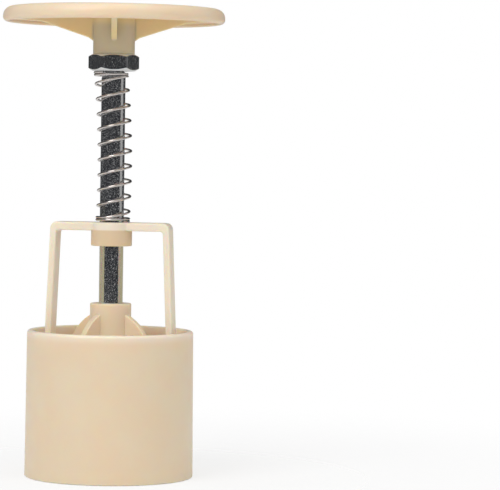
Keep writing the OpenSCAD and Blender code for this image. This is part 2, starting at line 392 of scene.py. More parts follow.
def cylinder(
    name: str, centre: tuple[float, float], radius: float, low: float, high: float
) -> bpy.types.Object:
    """Plain upright cylinder, which is only used to cut holes.

    Args:
        name: Name of the object.
        centre: Its axis, as (x, y).
        radius: Its radius.
        low: Height of its bottom.
        high: Height of its top.

    Returns:
        The object.
    """
    grid = turned(np.array([[radius, low, 0.0], [radius, high, 0.0]]), full_circle())
    grid[..., 0] += centre[0]
    grid[..., 1] += centre[1]
    return grid_solid(name, grid, capped=True)


def combine(piece: bpy.types.Object, tools: Sequence[bpy.types.Object], cut: Cut) -> None:
    """Joins solids to a piece, or removes them from it, and deletes them.

    Args:
        piece: The piece, whose mesh is replaced.
        tools: The other solids.
        cut: Whether they are joined or removed.
    """
    for tool in tools:
        modifier = piece.modifiers.new(tool.name, "BOOLEAN")
        modifier.operation = cut.value
        modifier.object = tool
        modifier.solver = "EXACT"
    graph = bpy.context.evaluated_depsgraph_get()
    result = bpy.data.meshes.new_from_object(piece.evaluated_get(graph))
    piece.modifiers.clear()
    old, piece.data = piece.data, result
    bpy.data.meshes.remove(old)
    for tool in tools:
        bpy.data.meshes.remove(tool.data)


def smooth(piece: bpy.types.Object, crease: float = 34.0) -> None:
    """Shades a piece smooth, apart from edges sharper than the crease.

    Args:
        piece: The piece.
        crease: Angle in degrees above which an edge stays sharp.
    """
    piece.data.shade_smooth()
    piece.data.set_sharp_from_angle(angle=math.radians(crease))
    modifier = piece.modifiers.new("flat_faces_stay_flat", "WEIGHTED_NORMAL")
    modifier.keep_sharp = True


# ---------- shader graphs ----------


class Value:
    """A number in a shader graph. Maths on it adds Math nodes."""

    def __init__(self, graph: Graph, socket: bpy.types.NodeSocket) -> None:
        """Wraps a socket of a graph."""
        self.graph = graph
        self.socket = socket

    def _math(self, operation: str, first: Any, second: Any) -> Value:
        """One Math node."""
        return self.graph.value("ShaderNodeMath", {"operation": operation}, {0: first, 1: second})

    def __add__(self, other: Value | float) -> Value:
        """self + other."""
        return self._math("ADD", self, other)

    __radd__ = __add__

    def __mul__(self, other: Value | float) -> Value:
        """self * other."""
        return self._math("MULTIPLY", self, other)

    __rmul__ = __mul__

    def __sub__(self, other: Value | float) -> Value:
        """self - other."""
        return self._math("SUBTRACT", self, other)

    def __rsub__(self, other: Value | float) -> Value:
        """other - self."""
        return self._math("SUBTRACT", other, self)

    def __pow__(self, other: Value | float) -> Value:
        """self to the power of other."""
        return self._math("POWER", self, other)

    def above(self, low: float, high: float) -> Value:
        """Rises from 0 at low to 1 at high, or falls where low is the higher, and is held."""
        return self.graph.value(
            "ShaderNodeMapRange",
            {"interpolation_type": "SMOOTHSTEP"},
            {"Value": self, "From Min": low, "From Max": high},
        )


class Graph:
    """A node tree that is written as expressions."""

    def __init__(self, tree: bpy.types.NodeTree) -> None:
        """Empties a tree and keeps it."""
        self.tree = tree
        tree.nodes.clear()

    def node(
        self,
        kind: str,
        settings: dict[str, Any] | None = None,
        inputs: dict[Any, Any] | None = None,
    ) -> bpy.types.Node:
        """Adds a node.

        Args:
            kind: The node's type.
            settings: Its own settings, which are set first.
            inputs: Values, sockets or Values for its sockets, by name or number.

        Returns:
            The node.
        """
        made = self.tree.nodes.new(kind)
        for key, setting in (settings or {}).items():
            setattr(made, key, setting)
        for key, given in (inputs or {}).items():
            source = given.socket if isinstance(given, Value) else given
            if isinstance(source, bpy.types.NodeSocket):
                self.tree.links.new(source, made.inputs[key])
            else:
                made.inputs[key].default_value = source
        return made

    def value(self, kind: str, settings: dict[str, Any], inputs: dict[Any, Any]) -> Value:
        """Adds a node and wraps its first output."""
        return Value(self, self.node(kind, settings, inputs).outputs[0])

    def split(self, vector: bpy.types.NodeSocket) -> tuple[Value, Value, Value]:
        """The x, y and z of a vector."""
        made = self.node("ShaderNodeSeparateXYZ", {}, {"Vector": vector})
        x, y, z = (Value(self, output) for output in made.outputs)
        return x, y, z

    def noise(self, place: bpy.types.NodeSocket, per_mm: float, detail: float) -> Value:
        """Soft noise, from 0 to 1.

        Args:
            place: Coordinates in metres.
            per_mm: How many waves a millimetre holds.
            detail: Finer layers added to it.

        Returns:
            The noise.
        """
        return self.value(
            "ShaderNodeTexNoise", {}, {"Vector": place, "Scale": per_mm / MM, "Detail": detail}
        )

    def blend(self, share: Value | float, first: Any, second: Any) -> bpy.types.NodeSocket:
        """Mixes two colours.

        Args:
            share: Share of the second colour.
            first: A colour or socket.
            second: A colour or socket.

        Returns:
            The mixed colour's socket.
        """
        colours = [(*c, 1.0) if isinstance(c, tuple) else c for c in (first, second)]
        made = self.node(
            "ShaderNodeMix", {"data_type": "RGBA"}, {0: share, 6: colours[0], 7: colours[1]}
        )
        return made.outputs[2]

    def bump(self, height: Value) -> bpy.types.NodeSocket:
        """Normal of a surface that is raised by a height in millimetres."""
        inputs = {"Height": height, "Distance": MM, "Strength": 1.0}
        return self.node("ShaderNodeBump", {}, inputs).outputs["Normal"]

    def show(self, shader: bpy.types.Node) -> None:
        """Puts a shader on the surface."""
        self.node("ShaderNodeOutputMaterial", {}, {"Surface": shader.outputs[0]})


def surface_graph(name: str) -> tuple[bpy.types.Material, Graph, bpy.types.NodeSocket]:
    """Starts a material.

    Args:
        name: Name of the material.

    Returns:
        The material, its graph, and the piece's own coordinates.
    """
    material = bpy.data.materials.new(name)
    material.use_nodes = True
    graph = Graph(material.node_tree)
    place = graph.node("ShaderNodeTexCoord").outputs["Object"]
    return material, graph, place


@dataclass(frozen=True)
class LightAndShadeZone:
    """Stretch of a moulding painted paler where light falls or deeper where shade lies: painted light and
    shade.

    Heights and distances from the axis are in millimetres.
    """

    colour: Colour
    height: Limits = EVERYWHERE
    radius: Limits = EVERYWHERE

    def share(self, graph: Graph, place: bpy.types.NodeSocket) -> Value:
        """How far a point lies in the zone, from 0 to 1.

        Args:
            graph: The material's graph.
            place: The piece's own coordinates, in metres.

        Returns:
            The product of its shares by height and by distance.
        """
        x, y, z = (part * (1 / MM) for part in graph.split(place))
        return z.above(*self.height) * ((x * x + y * y) ** 0.5).above(*self.radius)


@dataclass(frozen=True)
class MouldedPlastic:
    """Cream plastic from a polished mould, a little translucent.

    Limits are levels of a noise, and depth is how far light travels in it, in millimetres.
    """

    name: str
    colour: Colour = (0.765, 0.645, 0.475)
    warm: Colour = (0.772, 0.628, 0.452)
    light_and_shade_zones: tuple[LightAndShadeZone, ...] = ()
    roughness: float = 0.33
    ior: float = 1.5
    translucency: float = 0.85
    depth: float = 2.2
    depth_by_colour: Colour = (1.0, 0.62, 0.3)
    mottle_per_mm: float = 0.09
    clouds: Limits = (0.35, 0.7)
    speck_colour: Colour = (0.5, 0.36, 0.22)
    speck_share: float = 0.08
    specks: Limits = (0.62, 0.9)
    soft_gloss: float = 0.12
    soft_patches: Limits = (0.3, 0.75)
    peel_per_mm: float = 1.1
    peel_height: float = 0.006

    def material(self) -> bpy.types.Material:
        """Cloudy cream with a faint orange peel and patches of softer gloss, and painted light and shade in
        its zones.
        """
        material, graph, place = surface_graph(self.name)
        cloud = graph.noise(place, self.mottle_per_mm, 3.0).above(*self.clouds)
        speck = graph.noise(place, self.peel_per_mm * 2, 1.0).above(*self.specks)
        soft = graph.noise(place, self.mottle_per_mm * 3, 3.0).above(*self.soft_patches)
        peel = graph.noise(place, self.peel_per_mm, 1.0)
        colour = graph.blend(cloud, self.colour, self.warm)
        # Painted light and shade: each zone paints its stretch paler or deeper
        for zone in self.light_and_shade_zones:
            colour = graph.blend(zone.share(graph, place), colour, zone.colour)
        colour = graph.blend(speck * self.speck_share, colour, self.speck_colour)
        shader = graph.node(
            "ShaderNodeBsdfPrincipled",
            {"subsurface_method": "RANDOM_WALK"},
            {
                "Base Color": colour,
                "Roughness": self.roughness + soft * self.soft_gloss,
                "Normal": graph.bump(peel * self.peel_height),
                "IOR": self.ior,
                "Subsurface Weight": self.translucency,
                "Subsurface Radius": self.depth_by_colour,
                "Subsurface Scale": self.depth * MM,
            },
        )
        graph.show(shader)
        return material


@dataclass(frozen=True)
class PlatedMetal:
    """Bright metal with fine pits and rubbed patches in its plating.

    Limits are levels of a noise, and for cut faces the squared rise of the surface's normal.
    """

    name: str
    colour: Colour
    stain: Colour
    roughness: float
    spread: float
    speck: float = 0.0
    pits_per_mm: float = 4.0
    pit_height: float = 0.0022
    cut_faces_and_highlight: float = 0.0
    dull_pits: Limits = (0.53, 0.68)
    patches_per_mm: float = 0.3
    stained: Limits = (0.4, 0.8)
    stain_share: float = 0.25
    rubbed: Limits = (0.35, 0.8)
    cut_and_highlight_rise: Limits = (0.1, 0.5)
    cut_highlight_colour: Colour = (0.95, 0.95, 0.95)

    def material(self) -> bpy.types.Material:
        """Mirror metal whose gloss and tint vary in patches, with a grain of dull specks.

        Faces and chamfers that were cut across the axis can be less smooth than the rest. They are also
        painted pale and less metallic there: a painted highlight, for the bright reflection of those
        chamfers.
        """
        material, graph, place = surface_graph(self.name)
        pits = graph.noise(place, self.pits_per_mm, 2.0)
        patches = graph.noise(place, self.patches_per_mm, 4.0)
        stained = patches.above(*self.stained) * self.stain_share
        tint = graph.blend(stained, self.colour, self.stain)
        rough = self.roughness + patches.above(*self.rubbed) * self.spread
        metal: Value | float = 1.0
        if self.speck:
            metal = 1 - pits.above(*self.dull_pits) * self.speck
        if self.cut_faces_and_highlight:
            rise = graph.split(graph.node("ShaderNodeNewGeometry").outputs["Normal"])[2]
            cut = (rise * rise).above(*self.cut_and_highlight_rise) * self.cut_faces_and_highlight
            rough = rough + cut
            # Painted highlight: faces cut across the axis are made less metallic and tinted pale, for the
            # bright reflection of the chamfers
            metal = metal * (1 - cut)
            tint = graph.blend(cut, tint, self.cut_highlight_colour)
        shader = graph.node(
            "ShaderNodeBsdfPrincipled",
            {},
            {
                "Base Color": tint,
                "Metallic": metal,
                "Roughness": rough,
                "Normal": graph.bump(pits * self.pit_height),
            },
        )
        graph.show(shader)
        return material


# ---------- pieces ----------


@dataclass
class Piece:
    """What all pieces of the press share: the node each stands for and how it is dressed."""

    node: str
    name: str
    body: Body
    slot: Slot
    finish: MouldedPlastic | PlatedMetal

    @property
    def extent(self) -> Extent:
        """Box of the node that this piece stands for."""
        return Extent.of(self.node)

    def build(self) -> bpy.types.Object:
        """Makes the piece's mesh."""
        raise NotImplementedError

    def install(self) -> bpy.types.Object:
        """Builds the piece, dresses it and sets what it rides on.

        Returns:
            The finished object.
        """
        made = self.build()
        made.data.materials.clear()
        made.data.materials.append(self.finish.material())
        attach(made, self.body.value)
        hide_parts(self.node)
        log.info("%s stands for %s with %d faces", made.name, self.node, len(made.data.polygons))
        return made


@dataclass(frozen=True)
class Petals:
    """The petal outline that the chamber, the plate and the stamp share."""

    cake_r: float = 25.0
    count: int = 12
    arc_share: float = 0.345
    columns: int = 32

    @property
    def petal_r(self) -> float:
        """Radius of one petal's arc."""
        return self.cake_r * self.arc_share

    @property
    def petal_at(self) -> float:
        """Distance of a petal's centre from the axis."""
        return self.cake_r - self.petal_r

    @property
    def half(self) -> float:
        """Half the angle between two petals."""
        return math.pi / self.count

    def local(self) -> np.ndarray:
        """Angle of each column from its petal's middle, closest together at the ridges."""
        s = np.linspace(-1, 1, self.columns, endpoint=False)
        return np.tile(self.half * (0.5 * s + 0.5 * np.sin(math.pi * s / 2)), self.count)

    def angles(self) -> np.ndarray:
        """Angle of each column about the axis."""
        middles = (np.arange(self.count) + 0.5) * 2 * self.half
        return np.repeat(middles, self.columns) + self.local()

    def reach(self, petal_r: float) -> np.ndarray:
        """Distance from the axis to the petals' arcs at each column.

        It is d cos a + sqrt(r^2 - d^2 sin^2 a), with the arc's radius r, its centre's distance d
        and the angle a from the petal's middle.

        Args:
            petal_r: Radius of the arcs.

        Returns:
            One distance for each column.
        """
        a, d = self.local(), self.petal_at
        return d * np.cos(a) + np.sqrt(petal_r**2 - (d * np.sin(a)) ** 2)

    def drop(self) -> np.ndarray:
        """How far the outline lies inside its outer circle at each column."""
        return self.cake_r - self.reach(self.petal_r)


@dataclass
class Barrel(Piece):
    """Barrel with the fluted chamber, the ledge and the collar over it."""

    petals: Petals = field(default_factory=Petals)
    draft: float = 0.4
    ring_gap: float = 0.1
    ring_t: float = 2.5
    mouth_round: float = 0.5
    lip_round: float = 0.25
    rim_round: float = 0.95
    ledge_round: float = 0.1
    bead_h: float = 1.0
    bead_out: float = 0.4
    bead_round: float = 0.15
    crease: float = 30.0

    def build(self) -> bpy.types.Object:
        """One closed section carried round the axis, whose chamber rows follow the petals."""
        mouth_r, top = self.extent.radius, self.extent.top
        ring = Extent.of("arch_frame")
        ledge, collar = ring.bottom, ring.radius + self.ring_gap
        bead = ledge + self.ring_t
        chamber = self.petals.cake_r
        half_way = Extent.of("press_plate").bottom / 2
        section = rounded(
            [
                (mouth_r, 0, self.mouth_round),
                (mouth_r - self.draft, top, self.rim_round),
                (collar, top, self.rim_round / 2),
                (collar, bead + self.bead_h, 0),
                (collar - self.bead_out, bead + self.bead_h / 2, self.bead_round),
                (collar, bead, 0),
                (collar, ledge, self.ledge_round),
                (chamber, ledge, self.ledge_round, 1),
                (chamber, half_way, 0, 1),
                (chamber, 0, self.lip_round, 1),
            ]
        )
        grid = turned(section, self.petals.angles(), self.petals.drop())
        made = grid_solid(self.name, grid, closed=True)
        smooth(made, self.crease)
        return made


@dataclass
class ArchFrame(Piece):
    """Strap bent into an arch, with the guide for the rod and the base ring."""

    post_inset: float = 3.8
    post_t: float = 2.2
    strap_w: float = 8.0
    bar_t: float = 2.8
    lean: float = 2.4
    guide_d: float = 13.7
    guide_drop: float = 5.1
    ring_t: float = 2.5
    ring_w: float = 7.2
    bore_r: float = 4.1
    bore_depth: float = 20.0
    outer_round: float = 2.2
    inner_round: float = 1.0
    edge: float = 0.55
    ring_round: float = 0.2
    guide_round: float = 0.35
    pad_round: float = 0.3

    def build(self) -> bpy.types.Object:
        """The strap's slab, with the guide and the ring turned, and the bore taken out."""
        box = self.extent
        grid = upright(slab(self.strap(), self.strap_w, self.edge), 0)
        made = grid_solid(self.name, grid, capped=True)
        combine(made, [self.ring(box), self.guide(box)], Cut.JOIN)
        low, high = box.top - self.bore_depth, box.top + PAST
        combine(made, [cylinder("guide_bore", (0, 0), self.bore_r, low, high)], Cut.REMOVE)
        smooth(made)
        return made

    def strap(self) -> np.ndarray:
        """Outline of the strap from the side, anticlockwise."""
        box = self.extent
        ring_top = box.bottom + self.ring_t
        slope = math.tan(math.radians(self.lean))
        foot_x = box.radius - self.post_inset
        top_x = foot_x - (box.top - ring_top) * slope
        foot_z = box.bottom + self.ring_t / 2
        low_x = foot_x + (ring_top - foot_z) * slope
        bar_z = box.top - self.bar_t
        shoulder = top_x + self.bar_t * slope - self.post_t
        corners = [
            (low_x, foot_z, 0),
            (top_x, box.top, self.outer_round),
            (-top_x, box.top, self.outer_round),
            (-low_x, foot_z, 0),
            (self.post_t - low_x, foot_z, 0),
            (-shoulder, bar_z, self.inner_round),
            (shoulder, bar_z, self.inner_round),
            (low_x - self.post_t, foot_z, 0),
        ]
        return rounded(corners)[:, :2]

    def ring(self, box: Extent) -> bpy.types.Object:
        """The base ring that sits on the barrel's ledge."""
        inner = box.radius - self.ring_w
        corners = [
            (inner, box.bottom, self.ring_round),
            (box.radius, box.bottom, self.ring_round),
            (box.radius, box.bottom + self.ring_t, self.ring_round),
            (inner, box.bottom + self.ring_t, self.ring_round),
        ]
        return grid_solid("base_ring", turned(rounded(corners), full_circle(160)), closed=True)

    def guide(self, box: Extent) -> bpy.types.Object:
        """The round boss that guides the rod, up to the pad that the spring stands on."""
        r, low = self.guide_d / 2, box.top - self.bar_t - self.guide_drop
        corners = [
            (0, low, 0),
            (r, low, self.guide_round),
            (r, box.top, self.pad_round),
            (0, box.top, 0),
        ]
        return grid_solid("guide", turned(rounded(corners, closed=False), full_circle()))


@dataclass
class Rod(Piece):
    """Plated rod, threaded at both ends."""

    radius: float = 4.0
    pitch: float = 1.25
    thread_depth: float = 0.6
    lower_thread: float = 13.0
    upper_thread: float = 18.6
    end_chamfer: float = 0.8
    rows_per_pitch: int = 8

    def build(self) -> bpy.types.Object:
        """Radius as a function of angle and height.

        In a thread it is the rod's radius less depth * (1 - cos(2 pi height / pitch - angle)) / 2,
        the thread fades out over one pitch, and the rod narrows to a chamfer at each end.
        """
        box = self.extent
        angles = full_circle(64)
        step = self.pitch / self.rows_per_pitch
        low_end = box.bottom + self.lower_thread
        high_end = box.top - self.upper_thread
        low = np.arange(box.bottom, low_end + self.pitch, step)
        high = np.arange(high_end - self.pitch, box.top, step)
        heights = np.concatenate([low, high, [box.top]])[:, None]
        wave = (1 - np.cos(FULL_TURN * heights / self.pitch - angles)) / 2
        threaded = 1 - smooth_step(heights, low_end, low_end + self.pitch)
        threaded = threaded + smooth_step(heights, high_end - self.pitch, high_end)
        to_end = np.minimum(heights - box.bottom, box.top - heights)
        chamfer = np.clip(self.end_chamfer - to_end, 0, None)
        radius = np.minimum(
            self.radius - self.thread_depth * wave * threaded, self.radius - chamfer
        )
        grid = np.stack(
            [radius * np.cos(angles), radius * np.sin(angles), heights + 0 * radius], axis=-1
        )
        made = grid_solid(self.name, grid, capped=True)
        smooth(made)
        return made


@dataclass
class HexNut(Piece):
    """Hexagon nut with chamfered faces."""

    across: float = 14.8
    height: float = 5.6
    turn: float = 0.0
    sides: int = 6
    bore_r: float = 4.05
    bore_chamfer: float = 0.5
    chamfer_round: float = 0.15
    cone: float = 30.0
    face_share: float = 0.95
    flat_share: float = 0.9
    corner_power: float = 70.0
    blend: float = 0.09
    rows: int = 61
    columns: int = 192

    def build(self) -> bpy.types.Object:
        """Radius as a function of angle and height.

        The hexagon is the p-norm of its six flats, which rounds its corners. It is cut by a
        flat cone at each face, with a soft minimum between them. The rows' heights follow a
        sine, which sets them closer together towards the faces.
        """
        bottom = self.extent.bottom
        top = bottom + self.height
        angles = full_circle(self.columns)
        flats = np.arange(self.sides) * FULL_TURN / self.sides
        flats = flats + math.radians(self.turn + 180 / self.sides)
        facing = np.clip(np.cos(angles[:, None] - flats), 0, None) / (self.across / 2)
        hexagon = np.sum(facing**self.corner_power, axis=1) ** (-1 / self.corner_power)
        lift = self.height / 2 * (1 + np.sin(np.linspace(-math.pi / 2, math.pi / 2, self.rows)))
        to_face = np.minimum(lift, self.height - lift)[:, None]
        cone = self.across / 2 * self.face_share + to_face / math.tan(math.radians(self.cone))
        side = -self.blend * np.logaddexp(-hexagon / self.blend, -cone / self.blend)
        outer = np.stack(
            [side * np.cos(angles), side * np.sin(angles), bottom + lift[:, None] + 0 * side],
            axis=-1,
        )
        bore = rounded(
            [
                (self.across / 2 * self.flat_share, top, 0),
                (self.bore_r + self.bore_chamfer, top, self.chamfer_round),
                (self.bore_r, top - self.bore_chamfer, self.chamfer_round),
                (self.bore_r, bottom + self.bore_chamfer, self.chamfer_round),
                (self.bore_r + self.bore_chamfer, bottom, self.chamfer_round),
                (self.across / 2 * self.flat_share, bottom, 0),
            ],
            closed=False,
        )
        grid = np.concatenate([outer, turned(bore, angles)])
        made = grid_solid(self.name, grid, closed=True)
        smooth(made)
        return made


@dataclass
class Washer(Piece):
    """Flat washer with rolled edges."""

    radius: float = 8.0
    bore_r: float = 4.05
    bore_round: float = 0.2
    rim_round: float = 0.3

    def build(self) -> bpy.types.Object:
        """One rounded section turned about the axis."""
        box = self.extent
        corners = [
            (self.bore_r, box.bottom, self.bore_round),
            (self.radius, box.bottom, self.rim_round),
            (self.radius, box.top, self.rim_round),
            (self.bore_r, box.top, self.bore_round),
        ]
        made = grid_solid(self.name, turned(rounded(corners), full_circle()), closed=True)
        smooth(made)
        return made


@dataclass
class Spring(Piece):
    """Return spring, with closed ends and the bow and lean of a spring under load."""

    wire_d: float = 0.8
    outer_d: float = 11.6
    turns: float = 12.7
    start: float = 3.0
    closed_turns: float = 1.62
    closing: float = 0.2
    lean: float = 0.3
    lean_turn: float = 12.0
    rings_per_turn: int = 40
    sides: int = 12
    bow: tuple[float, float, float] = (0.3, 2.9, -4.1)
    pressed_length: float = 12.5

    def build(self) -> bpy.types.Object:
        """A round wire carried along a helix.

        The pitch is one wire at the closed ends and even between them. The helix's centre moves
        sideways by the bow, a parabola a + b s + c s^2 of the share s of the height. Each open
        coil leans: it stands higher by lean * cos(angle) on one side and lower on the other.
        """
        box = self.extent
        low, high = box.bottom + self.wire_d / 2, box.top - self.wire_d / 2
        t = np.linspace(0, self.turns, int(self.turns * self.rings_per_turn) + 1)
        inner = smooth_step(t, self.closed_turns, self.closed_turns + self.closing)
        inner *= smooth_step(self.turns - t, self.closed_turns, self.closed_turns + self.closing)
        closed_climb = self.wire_d * t
        open_climb = np.concatenate([[0], np.cumsum((inner[1:] + inner[:-1]) / 2 * np.diff(t))])
        spare = (high - low) - closed_climb[-1]
        height = low + closed_climb + open_climb * spare / open_climb[-1]
        s = (height - low) / (high - low)
        sideways = self.bow[0] + self.bow[1] * s + self.bow[2] * s * s
        angle = t * FULL_TURN + math.radians(self.start)
        height += self.lean * np.cos(angle - math.radians(self.lean_turn)) * inner
        coil_r = self.outer_d / 2 - self.wire_d / 2
        path = np.column_stack([coil_r * np.cos(angle) + sideways, coil_r * np.sin(angle), height])
        made = grid_solid(self.name, self.tube(path, angle), capped=True)
        smooth(made)
        return made

    def tube(self, path: np.ndarray, angle: np.ndarray) -> np.ndarray:
        """Rings of the wire, square to its path.

        Args:
            path: Points of the wire's centre.
            angle: Angle of each point about the axis.

        Returns:
            Points as (rings, sides, 3).
        """
        along = np.gradient(path, axis=0)
        along /= np.linalg.norm(along, axis=1, keepdims=True)
        out = np.column_stack([np.cos(angle), np.sin(angle), np.zeros_like(angle)])
        side = np.cross(along, out)
        side /= np.linalg.norm(side, axis=1, keepdims=True)
        out = np.cross(side, along)
        around = full_circle(self.sides)[None, :, None]
        ring = np.cos(around) * out[:, None] + np.sin(around) * side[:, None]
        return path[:, None] + self.wire_d / 2 * ring

    def install(self) -> bpy.types.Object:
        """Also takes off the spring's shading modifier and gives it a mesh of its own.

        Returns:
            The finished spring.
        """
        made = super().install()
        made.modifiers.clear()
        box = self.extent
        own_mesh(made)
        return made


@dataclass
class Handle(Piece):
    """Palm disc: a shell open below, with a boss for the rod and four ribs.

    A rib's root is how far out and up from the boss's foot its first bend lies, and the bend's
    radius. Its toe is how far the second bend lies above the rim, and that bend's radius.
    """

    rim_h: float = 5.0
    skin: float = 2.2
    wall: float = 2.2
    boss_d: float = 13.9
    bore_r: float = 4.05
    bore_depth: float = 11.85
    turn: float = 12.0
    ribs: int = 4
    rib_t: float = 1.9
    rib_edge: float = 0.35
    rib_drop: float = 5.9
    rib_root: tuple[float, float, float] = (1.6, 1.0, 3.0)
    rib_reach: float = 24.0
    rib_toe: tuple[float, float] = (0.2, 6.0)
    rib_end: float = 0.8
    palm_round: float = 3.0
    under_round: float = 1.5
    lip_round: float = 0.6
    hollow_round: float = 0.8
    boss_round: float = 0.4
    bore_round: float = 0.2

    def build(self) -> bpy.types.Object:
        """The shell and boss turned in one, with the ribs joined to them."""
        box = self.extent
        radius = box.radius
        rim = box.top - self.rim_h
        skin = box.top - self.skin
        boss = self.boss_d / 2
        corners = [
            (0, box.top, 0),
            (radius - self.palm_round * 2, box.top, 0),
            (radius, box.top, self.palm_round),
            (radius, rim, self.under_round),
            (radius - self.wall, rim, self.lip_round),
            (radius - self.wall, skin, self.hollow_round),
            (boss, skin, self.hollow_round),
            (boss, box.bottom, self.boss_round),
            (self.bore_r, box.bottom, self.bore_round),
            (self.bore_r, box.bottom + self.bore_depth, 0),
            (0, box.bottom + self.bore_depth, 0),
        ]
        section = rounded(corners, closed=False, steps=7)
        made = grid_solid(self.name, turned(section, full_circle(240)))
        ribs = [self.rib(k, rim, skin) for k in range(self.ribs)]
        combine(made, ribs, Cut.JOIN)
        smooth(made)
        return made

    def rib(self, number: int, rim: float, skin: float) -> bpy.types.Object:
        """One rib from the boss to the rim.

        Its lower edge leaves the boss below the rim's level, rises to that level in two rounded
        bends, the root and the toe, and then runs on inside the shell.

        Args:
            number: Which rib.
            rim: Height of the rim's underside.
            skin: Height of the underside of the disc's top.

        Returns:
            The rib.
        """
        inner = self.boss_d / 2 - SEAT
        outer = self.extent.radius - self.wall + SEAT
        root_out, root_rise, root_round = self.rib_root
        toe_rise, toe_round = self.rib_toe
        corners = [
            (inner, skin + SEAT, 0),
            (inner, rim - self.rib_drop - SEAT, 0),
            (inner + SEAT + root_out, rim - self.rib_drop + root_rise, root_round),
            (self.rib_reach, rim + toe_rise, toe_round),
            (outer, rim + self.rib_end, 0),
            (outer, skin + SEAT, 0),
        ]
        outline = rounded(corners, steps=8)[:, :2]
        angle = self.turn + number * 360 / self.ribs
        grid = upright(slab(outline, self.rib_t, self.rib_edge), angle)
        return grid_solid(f"rib_{number}", grid, capped=True)


@dataclass
class PressPlate(Piece):
    """Petal plate with its hub, four gussets, the nut's pocket and the peg sockets."""

    petals: Petals = field(default_factory=Petals)
    plate_t: float = 3.0
    hub_d: float = 13.8
    gap: float = 0.3
    bore_r: float = 4.05
    pocket_r: float = 9.345
    pocket_depth: float = 7.0
    cup_wall: float = 1.6
    gusset_r: float = 17.8
    gusset_sink: float = 3.4
    gusset_t: float = 2.0
    gusset_edge: float = 0.3
    gusset_turn: float = 64.0
    gusset_chords: int = 27
    gussets: int = 4
    peg_at: float = 16.2
    socket_r: float = 2.1
    plate_round: float = 0.3
    cup_round: float = 0.6
    root_round: float = 0.5
    hub_round: float = 0.45
    bore_round: float = 0.25
    seat_round: float = 0.1
    pocket_round: float = 0.3

    def build(self) -> bpy.types.Object:
        """Plate, cup and hub in one section, with the gussets joined and the sockets cut."""
        box = self.extent
        low, top = box.bottom, box.bottom + self.plate_t
        edge = self.petals.cake_r - self.gap
        cup, hub = self.pocket_r + self.cup_wall, self.hub_d / 2
        pocket_top = low + self.pocket_depth
        section = rounded(
            [
                (edge, low, self.plate_round, 1),
                (edge, top, self.plate_round, 1),
                (cup, top, self.root_round),
                (cup, pocket_top + self.cup_wall, self.cup_round),
                (hub, pocket_top + self.cup_wall, self.root_round),
                (hub, box.top, self.hub_round),
                (self.bore_r, box.top, self.bore_round),
                (self.bore_r, pocket_top, self.seat_round),
                (self.pocket_r, pocket_top, self.pocket_round),
                (self.pocket_r, low, self.pocket_round),
            ]
        )
        grid = turned(section, self.petals.angles(), self.petals.drop())
        made = grid_solid(self.name, grid, closed=True)
        combine(made, [self.gusset(k, top) for k in range(self.gussets)], Cut.JOIN)
        sockets = [
            cylinder(f"socket_{i}", (side * self.peg_at, 0), self.socket_r, low - PAST, top + PAST)
            for i, side in enumerate((1, -1))
        ]
        combine(made, sockets, Cut.REMOVE)
        smooth(made)
        return made

    def gusset(self, number: int, plate_top: float) -> bpy.types.Object:
        """One gusset, whose back is an arc about a point of the axis below the plate's top.

        Args:
            number: Which gusset.
            plate_top: Height of the plate's top.

        Returns:
            The gusset.
        """
        centre_z = plate_top - self.gusset_sink
        foot = plate_top - self.plate_t / 2
        inner = (self.bore_r + self.hub_d / 2) / 2
        first = math.asin((foot - centre_z) / self.gusset_r)
        last = math.acos(inner / self.gusset_r)
        bend = np.linspace(first, last, self.gusset_chords + 1)
        back = np.column_stack(
            [self.gusset_r * np.cos(bend), centre_z + self.gusset_r * np.sin(bend)]
        )
        outline = np.concatenate([[[inner, foot]], back])
        angle = self.gusset_turn + number * 360 / self.gussets
        grid = upright(slab(outline, self.gusset_t, self.gusset_edge), angle)
        return grid_solid(f"gusset_{number}", grid, capped=True)


